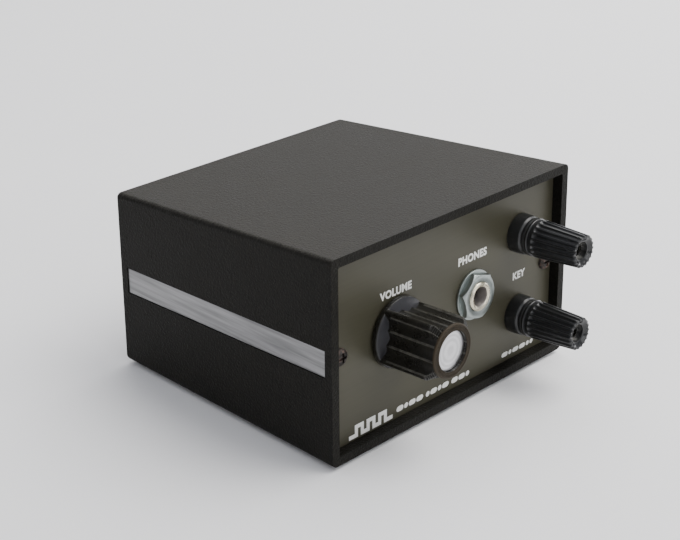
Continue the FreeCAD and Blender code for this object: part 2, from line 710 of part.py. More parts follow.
def make_wires():
    """Insulated leads from the panel, the loudspeaker and the battery snap to the board."""
    top = board_top()
    runs = []
    for i in (-1, 0, 1):
        x = KNOB_X + 5.0 * i
        start = on_floor(x, PANEL_BACK + 5.3, -17.0)
        runs.append([start, Vector(x, 18.0 + 2 * i, 13.5), Vector(-6.0 + 3 * i, 27.0 + i, 17.0 - 2 * i),
                     Vector(0.0 + 3 * i, 36.5, top)])
    for side in (-1, 1):
        x = JACK_X + side * 6.0
        start = on_floor(JACK_X + side * 3.9, PANEL_BACK + 19.0, 7.65)
        runs.append([start, on_floor(x, 28.5, 5.0), on_floor(x, 33.0, -10.0), Vector(x, 36.2, top)])
    runs.append([on_floor(POST_X + 8.8, PANEL_BACK + 3.2, POST_Z), on_floor(42.0, 15.0, 12.0),
                 on_floor(40.0, 30.0, -5.0), Vector(34.0, 36.5, top)])
    runs.append([on_floor(POST_X + 8.8, PANEL_BACK + 3.2, -POST_Z), on_floor(42.0, 15.0, -16.0),
                 on_floor(35.0, 30.0, -16.0), Vector(30.5, 36.2, top)])
    for side in (-1, 1):
        x = SPEAKER_X + side * 5.0
        runs.append([on_floor(x, REAR_IN - 6.5, -16.95), on_floor(x, REAR_IN - 14.0, -18.0),
                     Vector(x, 70.5, top)])
    for i in (0, 1):
        start = Vector(BATTERY_X + 12.6, BATTERY_Y + BATTERY[1] + 3.3, 12.0 + 4 * i)
        runs.append([start, Vector(-15.0, 77.0, 15.0 + 2 * i), Vector(-4.0 + 3 * i, 73.0, top + 4.0),
                     Vector(-3.5 + 3 * i, 71.5, top)])
    upright_end = Vector(0, 0, 3.0)
    return group([lead(points[:-1] + [points[-1] + upright_end, points[-1]], WIRE_R) for points in runs])


def make_feet():
    feet = []
    for x in (-FOOT_X, FOOT_X):
        for y in (FOOT_FRONT, FOOT_REAR):
            feet.append(upright(FOOT_R, x, y, 0, FOOT_GAP))
    return group(feet)


# ---- assembly -----------------------------------------------------------------------------
def add_case_frame_parts():
    """Pieces that are built in the case frame."""
    parts["case_shell"] = make_case()
    parts["side_trim_left"] = make_trim(-1)
    parts["side_trim_right"] = make_trim(1)
    parts["front_panel"] = make_panel()
    parts["panel_screws"] = group([make_panel_screw(-1), make_panel_screw(1)])
    parts["volume_knob"] = make_knob()
    parts["knob_disc"] = make_disc()
    parts["knob_set_screw"] = make_set_screw()
    parts["volume_shaft"] = cyl(SHAFT_R, PANEL_BACK + 5.0, out(16.8), KNOB_X)
    parts["volume_wiper"] = make_wiper()
    parts["volume_housing"] = make_pot_housing()
    parts["volume_track"] = tube(10.6, 5.5, PANEL_BACK + 6.6, PANEL_BACK + 9.2, KNOB_X)
    parts["volume_lugs"] = make_pot_lugs()
    parts["volume_washer"] = tube(7.9, BUSHING_R + 0.05, out(0), out(WASHER_T), KNOB_X)
    parts["volume_nut"] = hex_nut(12.7, BUSHING_R + 0.02, out(WASHER_T), out(WASHER_T + NUT_T), KNOB_X, 0)
    parts["jack_frame"] = make_jack_frame()
    parts["jack_bushing"] = make_jack_bushing()
    parts["jack_washer"] = tube(JACK_WASHER_R, BUSHING_R + 0.05, out(0), out(WASHER_T), JACK_X)
    parts["jack_nut"] = hex_nut(JACK_NUT_FLATS, BUSHING_R + 0.02, out(WASHER_T), out(3.1), JACK_X, 0, JACK_NUT_TURN)
    parts["jack_insulator"] = make_jack_stack()
    parts["jack_tip_spring"] = make_tip_spring()
    parts["jack_lugs"] = make_jack_lugs()
    for name, z in (("upper", POST_Z), ("lower", -POST_Z)):
        parts[name + "_post_base"] = make_post_base(z)
        parts[name + "_post_stud"] = make_stud(z)
        parts[name + "_post_clamp_ring"] = make_clamp_ring(z)
        parts[name + "_post_cap"] = make_post_cap(z)
        parts[name + "_post_insulator"] = make_post_insulator(z)
        parts[name + "_post_lug"] = make_post_lug(z)
        parts[name + "_post_nut"] = make_post_nut(z)
    parts["speaker_frame"] = make_speaker_frame()
    parts["speaker_magnet"] = make_magnet()
    parts["speaker_cone"] = make_cone()
    parts["speaker_screws"] = make_speaker_screws()
    parts["tone_control_body"] = make_tone_body()
    parts["tone_control_rotor"] = make_tone_rotor()


def add_floor_frame_parts():
    """Pieces that stand on the case's floor, or under it."""
    parts["rubber_feet"] = make_feet()
    parts["circuit_board"] = make_board()
    parts["board_standoffs"] = make_standoffs()
    parts["board_screws"] = make_board_screws()
    parts["transistors"] = make_transistors()
    parts["resistors"] = make_resistors()
    parts["electrolytic_capacitors"] = make_electrolytics()
    parts["disc_capacitors"] = make_disc_capacitors()
    parts["battery"] = make_battery()
    parts["battery_clip"] = make_battery_clip()
    parts["battery_snap"] = make_battery_snap()
    parts["hookup_wires"] = make_wires()


def main():
    os.makedirs("parts", exist_ok=True)
    lean = Placement(Vector(0, 0, RIM_UP), Rotation(Vector(1, 0, 0), -DRAFT))
    add_case_frame_parts()
    for shape in parts.values():
        shape.Placement = lean.multiply(shape.Placement)
    add_floor_frame_parts()
    whole = group(list(parts.values())).BoundBox
    shift = Vector(0, -(whole.YMin + whole.YMax) / 2, 0)
    print("rim centre", 0, shift.y, RIM_UP)
    for name, shape in parts.items():
        shape.translate(shift)
        shape.exportStep("parts/" + name + ".step")
        print(name, len(shape.Solids), round(shape.Volume, 1), shape.isValid())
    box_all = group(list(parts.values())).BoundBox
    print("size", box_all.XLength, box_all.YLength, box_all.ZLength, "low", box_all.ZMin)


main()
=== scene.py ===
import json
import math

import bmesh
import bpy
from mathutils import Matrix, Vector


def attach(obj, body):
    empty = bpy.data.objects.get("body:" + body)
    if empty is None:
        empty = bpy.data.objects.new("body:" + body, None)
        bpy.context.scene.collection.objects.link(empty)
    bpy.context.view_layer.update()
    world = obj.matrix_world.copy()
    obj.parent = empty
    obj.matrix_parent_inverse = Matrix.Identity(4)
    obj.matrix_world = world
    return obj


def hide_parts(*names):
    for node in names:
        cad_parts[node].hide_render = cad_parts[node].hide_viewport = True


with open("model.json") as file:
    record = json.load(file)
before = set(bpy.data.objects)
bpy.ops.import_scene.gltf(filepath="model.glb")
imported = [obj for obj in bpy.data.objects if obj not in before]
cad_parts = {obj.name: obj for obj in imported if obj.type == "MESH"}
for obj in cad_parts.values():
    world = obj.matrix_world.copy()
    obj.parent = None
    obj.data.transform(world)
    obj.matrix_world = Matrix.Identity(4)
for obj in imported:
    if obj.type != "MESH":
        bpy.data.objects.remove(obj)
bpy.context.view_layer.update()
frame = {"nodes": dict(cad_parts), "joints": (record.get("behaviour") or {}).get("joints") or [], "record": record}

# A code practice oscillator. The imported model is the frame, and this script adds the detailed
# turned pieces, the panel's markings, the materials and the studio. The pieces' profiles are in
# millimetres, as (distance out of the panel's face, radius), and MM turns them into metres.
MM = 0.001
nodes = frame["nodes"]
joints = {j["name"]: j for j in frame["joints"]}
mounts = {m["name"]: m for m in frame["record"]["mounts"]}

# ---- places, all from the frame -----------------------------------------------------------
POSTS = ("upper", "lower")
OUT = Vector(joints["volume_turn"]["axis"]).normalized()      # out of the panel's face
RIGHT = Vector((1, 0, 0))
UP = OUT.cross(RIGHT)
KNOB_AT = Vector(joints["volume_turn"]["pos_m"])
POST_AT = {name: Vector(joints[name + "_cap_turn"]["pos_m"]) for name in POSTS}
PANEL_MIDDLE = Vector((0, KNOB_AT.y, KNOB_AT.z))
JACK_AT = PANEL_MIDDLE + RIGHT * mounts["phones_socket"]["pos_m"][0]


def hardware_matrix(place):
    """Local millimetres, Z out of the panel and Y up along it, to the shared frame."""
    turn = Matrix((RIGHT, UP, OUT)).transposed().to_4x4()
    return Matrix.Translation(place) @ turn @ Matrix.Scale(MM, 4)


# ---- colours, and pairs of a dark and a pale colour ---------------------------------------
CASE_BLACK = (0.009, 0.0087, 0.0077)
CASE_RUBBED = ((0.0075, 0.0073, 0.0063), (0.0115, 0.011, 0.0093))
CASE_SPECKS = ((0.002, 0.002, 0.0017), (0.023, 0.0213, 0.0175))
# the top's pale film: partly dust, partly painted sheen of the light from above
CASE_TOP_DUST_AND_SHEEN = ((0.011, 0.0104, 0.009), (0.05, 0.0468, 0.0403))
# pale edge patches: partly wear, partly painted highlight
CASE_EDGE_WEAR_AND_HIGHLIGHT = (0.11, 0.105, 0.09)
TRIM_GREY = (0.26, 0.26, 0.265)
TRIM_LINES = ((0.14, 0.14, 0.143), (0.275, 0.275, 0.278))
PANEL_OLIVE = (0.06, 0.056, 0.036)
PANEL_CLOUDS = ((0.043, 0.0402, 0.0252), (0.053, 0.0497, 0.0322))
PANEL_LINES = ((0.038, 0.0355, 0.0225), (0.09, 0.0845, 0.058))
SCREW_STEEL = (0.06, 0.05, 0.045)
SCREW_DARK, SCREW_BROWN = (0.035, 0.032, 0.03), (0.06, 0.04, 0.032)
SCREW_RUST = (0.15, 0.068, 0.042)
KNOB_BLACK = (0.0085, 0.0076, 0.005)
KNOB_FACE_BROWN = (0.03, 0.022, 0.0125)
# painted bluish reflection for the knob's sloping skirt
KNOB_SKIRT_REFLECTION = (0.017, 0.017, 0.02)
# painted highlight for the crests of the grip's flutes
KNOB_RIDGE_HIGHLIGHT = (0.05, 0.048, 0.04)
POST_BLACK = (0.0105, 0.0112, 0.0118)
ZINC, ZINC_STAIN = (0.39, 0.425, 0.415), (0.22, 0.245, 0.235)
JACK_BORE_GREY = (0.45, 0.42, 0.40)
LAMINATE_BROWN = (0.22, 0.17, 0.07)
LAMINATE_FIBRES = ((0.17, 0.125, 0.05), (0.27, 0.21, 0.09))
LAMINATE_COPPER = (0.36, 0.19, 0.08)
RESISTOR_TAN = (0.5, 0.36, 0.2)
RESISTOR_RED, RESISTOR_VIOLET = (0.4, 0.02, 0.02), (0.08, 0.05, 0.4)
RESISTOR_ORANGE = (0.45, 0.2, 0.02)
INK_WHITE = (0.72, 0.72, 0.69)


def shades(color, dark, pale):
    """A darker and a paler version of a colour."""
    return tuple(dark * c for c in color), tuple(min(1, pale * c) for c in color)


# ---- materials ----------------------------------------------------------------------------
class Finish:
    """A Principled material with short calls for the nodes that feed it."""

    def __init__(self, name, color, roughness, metallic=0.0):
        self.mat = bpy.data.materials.new(name)
        self.mat.use_nodes = True
        self.tree = self.mat.node_tree
        self.shader = self.tree.nodes["Principled BSDF"]
        self.shader.inputs["Base Color"].default_value = (*color, 1)
        self.shader.inputs["Roughness"].default_value = roughness
        self.shader.inputs["Metallic"].default_value = metallic
        self.coords = self.tree.nodes.new("ShaderNodeTexCoord")
        self.height = None

    def link(self, a, b):
        self.tree.links.new(a, b)

    def specular(self, level):
        self.shader.inputs["Specular IOR Level"].default_value = level
        return self

    def stretched(self, stretch):
        """Object coordinates, scaled along each axis."""
        node = self.tree.nodes.new("ShaderNodeMapping")
        node.inputs["Scale"].default_value = stretch
        self.link(self.coords.outputs["Object"], node.inputs["Vector"])
        return node.outputs["Vector"]

    def noise(self, scale, detail=3.0, stretch=(1, 1, 1), rough=0.5):
        node = self.tree.nodes.new("ShaderNodeTexNoise")
        node.inputs["Scale"].default_value = scale
        node.inputs["Detail"].default_value = detail
        node.inputs["Roughness"].default_value = rough
        self.link(self.stretched(stretch), node.inputs["Vector"])
        return node.outputs["Fac"]

    def cells(self, scale, feature):
        node = self.tree.nodes.new("ShaderNodeTexVoronoi")
        node.feature = feature
        node.inputs["Scale"].default_value = scale
        self.link(self.coords.outputs["Object"], node.inputs["Vector"])
        return node.outputs["Distance"]

    def ramp(self, value, *stops):
        """stops are (position, colour or grey)."""
        node = self.tree.nodes.new("ShaderNodeValToRGB")
        line = node.color_ramp
        while len(line.elements) < len(stops):
            line.elements.new(0.5)
        for element, (position, color) in zip(line.elements, stops):
            if isinstance(color, (int, float)):
                color = (color, color, color)
            element.position = position
            element.color = (*color, 1)
        self.link(value, node.inputs["Fac"])
        return node.outputs["Color"]

    def fade(self, value, low, high, pair):
        """The pair's first colour or grey up to low, its second from high on."""
        return self.ramp(value, (low, pair[0]), (high, pair[1]))

    def math(self, kind, a, b=0.0):
        node = self.tree.nodes.new("ShaderNodeMath")
        node.operation = kind
        for socket, value in zip(node.inputs, (a, b)):
            if isinstance(value, (int, float)):
                socket.default_value = value
            else:
                self.link(value, socket)
        return node.outputs["Value"]

    def mix(self, fac, a, b):
        node = self.tree.nodes.new("ShaderNodeMix")
        node.data_type = "RGBA"
        colors = [socket for socket in node.inputs if socket.type == "RGBA"]
        for socket, value in zip([node.inputs["Factor"], *colors], (fac, a, b)):
            if isinstance(value, tuple):
                socket.default_value = (*value, 1)
            elif isinstance(value, (int, float)):
                is_factor = socket.type == "VALUE"
                socket.default_value = value if is_factor else (value, value, value, 1)
            else:
                self.link(value, socket)
        return [socket for socket in node.outputs if socket.type == "RGBA"][0]

    def split(self, socket):
        node = self.tree.nodes.new("ShaderNodeSeparateXYZ")
        self.link(socket, node.inputs["Vector"])
        return node.outputs

    def high_and_level(self, height):
        """1 on faces that look up and lie above a height, 0 on sides and on anything lower."""
        level = self.fade(self.split(self.coords.outputs["Normal"])["Z"], 0.55, 0.95, (0.0, 1.0))
        high = self.math("GREATER_THAN", self.split(self.coords.outputs["Object"])["Z"], height)
        return self.mix(high, 0.0, level)

    def color(self, socket):
        self.link(socket, self.shader.inputs["Base Color"])

    def rough(self, value, low, high):
        node = self.tree.nodes.new("ShaderNodeMapRange")
        node.inputs["To Min"].default_value = low
        node.inputs["To Max"].default_value = high
        self.link(value, node.inputs["Value"])
        self.link(node.outputs["Result"], self.shader.inputs["Roughness"])

    def bump(self, value, distance_mm, strength):
        """Adds a relief on top of the ones added before it."""
        node = self.tree.nodes.new("ShaderNodeBump")
        node.inputs["Distance"].default_value = distance_mm * MM
        node.inputs["Strength"].default_value = strength
        self.link(value, node.inputs["Height"])
        if self.height is not None:
            self.link(self.height, node.inputs["Normal"])
        self.height = node.outputs["Normal"]
        self.link(self.height, self.shader.inputs["Normal"])


CASE_TOP_FROM = 60.0 * MM       # only the case's top face lies higher than this


def case_finish(name, edge_wear_and_highlight):
    """Moulded black-brown plastic with a fine leather grain, and on the top a paler film that is partly dust and
    partly painted sheen of the light from above.
    """
    f = Finish(name, CASE_BLACK, 0.5).specular(0.07)
    pebbles = f.cells(1500, "SMOOTH_F1")
    specks = f.noise(1500, 4, rough=0.8)
    rubbed = f.noise(38, 5, rough=0.65)
    tone = f.fade(rubbed, 0.3, 0.72, CASE_RUBBED)
    base = f.mix(0.5, tone, f.fade(specks, 0.38, 0.64, CASE_SPECKS))
    # The top face is made paler: partly dust, partly painted sheen that stands in for the light from above.
    dust = f.fade(specks, 0.36, 0.64, CASE_TOP_DUST_AND_SHEEN)
    top_dust_and_sheen = f.mix(f.fade(rubbed, 0.3, 0.7, (0.25, 0.0)), dust, tone)
    base = f.mix(f.high_and_level(CASE_TOP_FROM), base, top_dust_and_sheen)
    # Pale patches on the rounded edges: partly wear, partly a painted highlight where the edges catch the light.
    if edge_wear_and_highlight:
        edge_wear_and_highlight_patches = f.fade(f.noise(210, 5, rough=0.7), 0.5, 0.66, (0.0, 1.0))
        base = f.mix(edge_wear_and_highlight_patches, base, CASE_EDGE_WEAR_AND_HIGHLIGHT)
    f.color(base)
    f.rough(f.mix(0.6, rubbed, f.fade(specks, 0.36, 0.66, (0.0, 1.0))), 0.33, 0.72)
    f.bump(pebbles, 0.16, 0.95)
    f.bump(specks, 0.12, 0.9)
    return f.mat


def trim_finish():
    """Bright strip, brushed along its length."""
    f = Finish("brushed_trim", TRIM_GREY, 0.3, 1.0)
    lines = f.noise(900, 4, (1, 0.012, 1))
    f.color(f.fade(lines, 0.3, 0.7, TRIM_LINES))
    f.rough(lines, 0.24, 0.46)
    f.bump(lines, 0.02, 0.5)
    return f.mat


def panel_finish():
    """Olive-grey anodised sheet with fine brushing and a few soft stains."""
    f = Finish("panel_metal", PANEL_OLIVE, 0.42, 0.22).specular(0.35)
    lines = f.noise(1300, 3, (0.02, 1, 1))
    clouds = f.noise(22, 4)
    base = f.fade(clouds, 0.25, 0.75, PANEL_CLOUDS)
    f.color(f.mix(0.1, base, f.fade(lines, 0.3, 0.7, PANEL_LINES)))
    f.rough(f.mix(0.5, lines, clouds), 0.34, 0.52)
    f.bump(lines, 0.006, 0.3)
    return f.mat


def glossy_black(name, color, low, high, specular=0.5):
    """Polished moulded plastic with a faint haze and specks of dust."""
    f = Finish(name, color, low).specular(specular)
    haze = f.noise(160, 5, rough=0.6)
    dust = f.noise(1500, 2)
    f.color(f.mix(0.3, f.fade(haze, 0.3, 0.7, shades(color, 0.8, 1.25)),
                  f.fade(dust, 0.45, 0.75, (0.008, 0.03))))
    f.rough(haze, low, high)
    f.bump(f.noise(420, 3), 0.02, 0.35)
    return f.mat


def metal(name, color, low, high, scale=700, stain=None):
    """Bare or plated metal with a grain and cloudy stains."""
    f = Finish(name, color, low, 1.0)
    grain = f.noise(scale, 4)
    clouds = f.noise(130, 4)
    pair = (stain or shades(color, 0.72, 1)[0], color)
    f.color(f.mix(0.3, f.fade(clouds, 0.3, 0.62, pair), f.fade(grain, 0.3, 0.7, pair)))
    f.rough(f.mix(0.5, grain, clouds), low, high)
    f.bump(grain, 0.015, 0.4)
    return f.mat


def ringed(name, color, pitch_mm, low, high, depth_mm, metallic=1.0, specular=0.5):
    """Turned face of the knob: fine rings about its axis."""
    f = Finish(name, color, low, metallic).specular(specular)
    node = f.tree.nodes.new("ShaderNodeVectorMath")
    node.operation = "DISTANCE"
    f.link(f.coords.outputs["Object"], node.inputs[0])
    node.inputs[1].default_value = KNOB_AT
    turns = f.math("MULTIPLY", node.outputs["Value"], 2 * math.pi / (pitch_mm * MM))
    height = f.math("MULTIPLY", f.math("ADD", f.math("SINE", turns), 1.0), 0.5)
    clouds = f.noise(260, 3)
    pair = shades(color, 0.8, 1.15)
    f.color(f.mix(0.5, f.fade(height, 0.2, 0.8, pair), f.fade(clouds, 0.3, 0.7, pair)))
    f.rough(clouds, low, high)
    f.bump(height, depth_mm, 0.7)
    return f.mat


def rusty_finish():
    """Dark steel that turns rough, brown and dull where it has rusted."""
    f = Finish("screw_steel", SCREW_STEEL, 0.45, 0.8)
    rust = f.noise(900, 5, rough=0.7)
    f.color(f.ramp(rust, (0.44, SCREW_DARK), (0.57, SCREW_BROWN), (0.7, SCREW_RUST)))
    f.link(f.fade(rust, 0.45, 0.6, (0.9, 0.15)), f.shader.inputs["Metallic"])
    f.rough(rust, 0.38, 0.8)
    f.bump(rust, 0.06, 0.6)
    return f.mat


def plain(name, color, low, high, scale=300, bump_mm=0.02, contrast=0.25):
    """One colour with soft clouds, for plastics, rubber, paper and ink."""
    f = Finish(name, color, low)
    cloud = f.noise(scale, 4, rough=0.6)
    f.color(f.fade(cloud, 0.3, 0.7, shades(color, 1 - contrast, 1 + contrast)))
    f.rough(cloud, low, high)
    f.bump(cloud, bump_mm, 0.5)
    return f.mat


def board_finish():
    """Brown laminate with bands of bare copper under a lacquer."""
    f = Finish("board_laminate", LAMINATE_BROWN, 0.4)
    tracks = f.fade(f.cells(170, "DISTANCE_TO_EDGE"), 0.06, 0.09, (1.0, 0.0))
    fibres = f.noise(900, 3, (0.1, 1, 1))
    f.color(f.mix(tracks, f.fade(fibres, 0.3, 0.7, LAMINATE_FIBRES), LAMINATE_COPPER))
    f.bump(fibres, 0.02, 0.4)
    return f.mat


RESISTOR_PITCH = 13.0 * MM


def resistor_finish():
    """Tan bodies with coloured bands along X."""
    f = Finish("resistor_body", RESISTOR_TAN, 0.35)
    x = f.split(f.coords.outputs["Object"])["X"]
    along = f.math("FRACT", f.math("MULTIPLY", x, 1 / RESISTOR_PITCH))
    bands = f.ramp(along, (0.0, RESISTOR_TAN), (0.25, RESISTOR_RED), (0.31, RESISTOR_TAN),
                   (0.39, RESISTOR_VIOLET), (0.45, RESISTOR_TAN), (0.56, RESISTOR_ORANGE),
                   (0.62, RESISTOR_TAN))
    bands.node.color_ramp.interpolation = "CONSTANT"
    grime = f.noise(900, 3)
    f.color(f.mix(0.15, bands, f.fade(grime, 0.3, 0.7, (0.1, 0.6))))
    f.rough(grime, 0.3, 0.45)
    return f.mat


# One material for each slot in the record. Numbers are the lowest and highest roughness, then
# the grain's scale and what is particular to the finish.
materials = {
    "case_plastic": case_finish("case_plastic", False),
    "brushed_trim": trim_finish(),
    "panel_metal": panel_finish(),
    "screw_steel": rusty_finish(),
    "knob_plastic": glossy_black("knob_plastic", KNOB_BLACK, 0.2, 0.36, 0.25),
    "knob_disc_metal": ringed("knob_disc_metal", (0.58, 0.58, 0.59), 0.25, 0.3, 0.42, 0.006),
    "zinc_hardware": metal("zinc_hardware", ZINC, 0.26, 0.5, 500, ZINC_STAIN),
    "brass": metal("brass", (0.74, 0.69, 0.54), 0.2, 0.36),
    "post_plastic": glossy_black("post_plastic", POST_BLACK, 0.3, 0.36),
    "stud_nickel": metal("stud_nickel", (0.72, 0.71, 0.67), 0.16, 0.32),
    "foot_rubber": plain("foot_rubber", (0.085, 0.05, 0.034), 0.7, 0.9, 500, 0.05),
    "steel": metal("steel", (0.55, 0.55, 0.55), 0.28, 0.45),
    "phenolic": plain("phenolic", (0.16, 0.075, 0.03), 0.45, 0.6),
    "speaker_metal": metal("speaker_metal", (0.42, 0.42, 0.41), 0.35, 0.5),
    "cone_paper": plain("cone_paper", (0.012, 0.012, 0.012), 0.85, 0.95, 1400, 0.06, 0.5),
    "tone_plastic": plain("tone_plastic", (0.02, 0.045, 0.2), 0.35, 0.5),
    "board_laminate": board_finish(),
    "transistor_epoxy": plain("transistor_epoxy", (0.012, 0.012, 0.012), 0.45, 0.6),
    "resistor_body": resistor_finish(),
    "capacitor_sleeve": plain("capacitor_sleeve", (0.01, 0.03, 0.16), 0.25, 0.35),
    "ceramic": plain("ceramic", (0.42, 0.22, 0.07), 0.5, 0.65),
    "battery_case": plain("battery_case", (0.05, 0.05, 0.055), 0.3, 0.45, 60, 0.01, 0.4),
    "wire_insulation": plain("wire_insulation", (0.35, 0.03, 0.02), 0.35, 0.45),
}

# Second finishes on parts of a piece
# The rounded edges' finish, with pale patches that are partly wear and partly painted highlight
case_edge_wear_and_highlight = case_finish("case_edge_painted_highlight_and_wear", True)
knob_face_ring = ringed("knob_face_ring", KNOB_FACE_BROWN, 0.35, 0.4, 0.7, 0.06, 0.0, 0.2)
# A bluish painted reflection on the knob's skirt
knob_skirt_reflection = ringed("knob_skirt_reflection", KNOB_SKIRT_REFLECTION, 0.3, 0.26, 0.4, 0.02, 0.0, 0.38)
# A pale painted highlight on the grip's ridges
knob_ridge_highlight = plain("knob_ridge_painted_highlight", KNOB_RIDGE_HIGHLIGHT, 0.25, 0.5, 500, 0.03, 0.6)
polished = glossy_black("polished_mouth", POST_BLACK, 0.07, 0.14)
jack_bore = metal("jack_bore", JACK_BORE_GREY, 0.45, 0.65)
ink = plain("label_ink", INK_WHITE, 0.5, 0.62, 1600, 0.004, 0.08)

slot_of = {row["node"]: row["material_slot"] for row in frame["record"]["subparts"]}
SMOOTH_ANGLE = math.radians(32)


def shade_smooth(mesh):
    for face in mesh.polygons:
        face.use_smooth = True


def dress_nodes():
    """Every CAD node gets its slot's procedural material and smooth shading."""
    for name, node in nodes.items():
        node.data.materials.clear()
        node.data.materials.append(materials[slot_of[name]])
        shade_smooth(node.data)
        node.data.set_sharp_from_angle(angle=SMOOTH_ANGLE)


def soften(name, width_mm, edge_wear_and_highlight):
    """Small rounding on a CAD node's sharp edges, by modifiers only, in a finish whose pale patches are partly
    wear and partly a painted highlight.
    """
    weld_points = nodes[name].modifiers.new("weld", "WELD")
    weld_points.merge_threshold = 0.002 * MM
    edge = nodes[name].modifiers.new("edge", "BEVEL")
    edge.width = width_mm * MM
    edge.segments = 2
    edge.limit_method = "ANGLE"
    edge.angle_limit = math.radians(40)
    edge.use_clamp_overlap = True
    edge.harden_normals = True
    nodes[name].data.materials.append(edge_wear_and_highlight)
    edge.material = 1
    even = nodes[name].modifiers.new("even", "WEIGHTED_NORMAL")
    even.weight = 100
    even.keep_sharp = True


dress_nodes()
soften("case_shell", 0.3, case_edge_wear_and_highlight)


# ---- turned pieces ------------------------------------------------------------------------
def finish_mesh(name, bm, place, body, slot_name, stands_for=(), material=None):
    """A bmesh in hardware millimetres becomes a piece that rides on a body."""
    bmesh.ops.recalc_face_normals(bm, faces=bm.faces)
    mesh = bpy.data.meshes.new(name)
    bm.to_mesh(mesh)
    bm.free()
    mesh.transform(hardware_matrix(place))
    shade_smooth(mesh)
    mesh.set_sharp_from_angle(angle=SMOOTH_ANGLE)
    mesh.materials.append(material or materials[slot_name])
    piece = bpy.data.objects.new(name, mesh)
    bpy.context.scene.collection.objects.link(piece)
    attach(piece, body)
    if stands_for:
        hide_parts(*stands_for)
    return piece


def turned(rings, around):
    """Closed bmesh lofted through rings of (distance out, radius), where a radius may be a
    function of the angle. A ring of radius 0 closes an end."""
    bm = bmesh.new()
    loops = []
    for out, radius in rings:
        if radius == 0:
            loops.append([bm.verts.new((0, 0, out))])
            continue
        loop = []
        for i in range(around):
            a = 2 * math.pi * i / around
            r = radius(a) if callable(radius) else radius
            loop.append(bm.verts.new((r * math.cos(a), r * math.sin(a), out)))
        loops.append(loop)
    for low, high in zip(loops, loops[1:]):
        for i in range(around):
            j = (i + 1) % around
            corners = [low[i % len(low)], low[j % len(low)],
                       high[j % len(high)], high[i % len(high)]]
            unique = list(dict.fromkeys(corners))
            if len(unique) > 2:
                bm.faces.new(unique)
    return bm


def weld(bm):
    bmesh.ops.remove_doubles(bm, verts=bm.verts, dist=1e-5)
    return bm


def turned_ring(rings, around=128):
    """A turned piece with a hole right through: its last ring joins its first."""
    return weld(turned(rings + rings[:1], around))


def rounded(corners, radius, steps=4):
    """(out, r) corners with each inner corner of the list rounded by a small arc."""
    path = [corners[0]]
    for before, here, after in zip(corners, corners[1:], corners[2:]):
        b, h, a = Vector(before), Vector(here), Vector(after)
        cut = min(radius, 0.45 * (b - h).length, 0.45 * (a - h).length)
        start = h + (b - h).normalized() * cut
        end = h + (a - h).normalized() * cut
        for i in range(steps + 1):
            t = i / steps
            point = (1 - t) ** 2 * start + 2 * t * (1 - t) * h + t ** 2 * end
            path.append((point.x, point.y))
    path.append(corners[-1])
    return path


def polar(face, place):
    """A face centre's distance out, radius and angle about the axis through place, in mm."""
    at = face.center - place
    x, y = at.dot(RIGHT) / MM, at.dot(UP) / MM
    return at.dot(OUT) / MM, math.hypot(x, y), math.atan2(y, x)


# ---- volume knob --------------------------------------------------------------------------
SKIRT_R = 11.5
SKIRT_HIGH = 2.0
SLOPE_FOOT = (2.3, 11.2)        # the slope from the skirt to the grip starts here
SLOPE_FALL = 2.556
SLOPE_TOP = 4.4
GRIP_HALF = 8.6                 # distance of the side's ends from the axis
GRIP_REACH = 6.9                # half length of a fluted side
GRIP_CORNER = 11.6
GRIP_END = 21.7
GRIP_TURN = math.radians(36.5)
GRIP_ROOT_R = 14.0
GRIP_DRAFT = 0.085              # the grip gets this much narrower with each millimetre out
HOLLOW = 0.55
FLUTES = 3
FLUTE_DEPTH = 0.75
FLUTE_FLATNESS = 0.75
RIDGE_WIDTH = 0.085             # part of a flute's width that counts as its crest
NOSE_START = 19.4               # from here the grip's corners are turned down in fine steps
NOSE_R = 11.3
NOSE_STEPS = 5
RING_R = 8.7
RING_GROOVES = 8
GROOVE_DEPTH = 0.12
KNOB_LEN = 22.5
DISC_SINK = 1.05                # the disc lies this far below the knob's front
DISC_SEAT_R = 6.45
DISC_R = 6.4
DISC_T = 0.38
DISC_CROWN = 0.06

# The shaft's hole, the hollow for the nut, and the skirt's rim
KNOB_UNDERSIDE = [(20.0, 0), (17.0, 3.2), (6.2, 3.2), (6.2, 5.3), (3.5, 5.3), (3.5, 7.6),
                  (1.2, 7.6), (1.2, 8.3), (0.6, 8.3), (0.6, SKIRT_R - 0.25),
                  (0.68, SKIRT_R - 0.1), (0.85, SKIRT_R), (1.8, SKIRT_R), (1.95, SKIRT_R - 0.05)]
SLOPE_STATIONS = [2.05 + 0.1 * i for i in range(30)]
GRIP_STATIONS = [7.0, 9.0, 12.0, 15.0, 17.5, 19.2]


def side_angle(angle):
    """The angle from the middle of the grip's nearest side."""
    return (angle - GRIP_TURN) % (math.pi / 2) - math.pi / 4


def flute_phase(t):
    """Place on a side in flutes, 0 to FLUTES, for a distance t from the side's middle."""
    return (t + GRIP_REACH) / (2 * GRIP_REACH) * FLUTES


def grip_radius(angle):
    """Radius of the square grip: four hollow, fluted sides between round corners."""
    a = side_angle(angle)
    turn = abs(a)
    corner_start = math.atan2(GRIP_REACH, GRIP_HALF)
    if turn >= corner_start:
        edge = math.hypot(GRIP_HALF, GRIP_REACH)
        t = (turn - corner_start) / (math.pi / 4 - corner_start)
        return edge + (GRIP_CORNER - edge) * math.sin(t * math.pi / 2)
    r = GRIP_HALF
    for _ in range(6):
        t = max(-GRIP_REACH, min(GRIP_REACH, r * math.sin(a)))
        side = GRIP_HALF - HOLLOW * (1 - (t / GRIP_REACH) ** 2)
        side -= FLUTE_DEPTH * math.sin(math.pi * (flute_phase(t) % 1.0)) ** FLUTE_FLATNESS
        r = side / math.cos(a)
    return r


